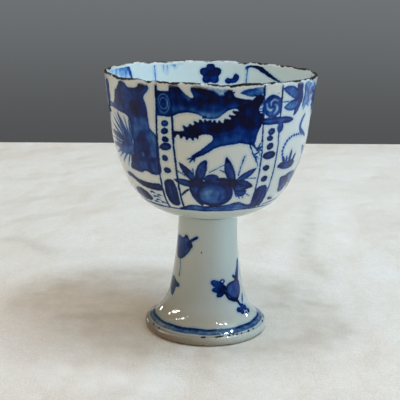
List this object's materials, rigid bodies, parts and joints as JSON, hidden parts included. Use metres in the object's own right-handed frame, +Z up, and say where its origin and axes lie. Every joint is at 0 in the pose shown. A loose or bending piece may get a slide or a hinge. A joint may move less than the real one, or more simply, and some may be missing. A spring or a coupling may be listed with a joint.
{
  "type": "stem cup",
  "caption": "Porcelain stem cup: a deep round bowl with a foliate rim, luted onto a hollow tapered stem with a flared foot ring.",
  "frame": {"origin": "centre of the foot, on the surface that the cup stands on", "axes": "+Z up along the axis of the stem and bowl, -Y towards the viewer of the picture"},
  "size_m": [0.0928, 0.0928, 0.1175],
  "materials": {
    "bowl_glaze": "glossy bluish-white glaze over cobalt blue painting",
    "slip": "glazed over clay slip",
    "stem_glaze": "glossy bluish-white glaze, bare clay under the foot ring"
  },
  "bodies": {
    "root": {"bowl": "bowl_glaze", "luting_slip": "slip", "stem": "stem_glaze"}
  },
  "joints": []
}
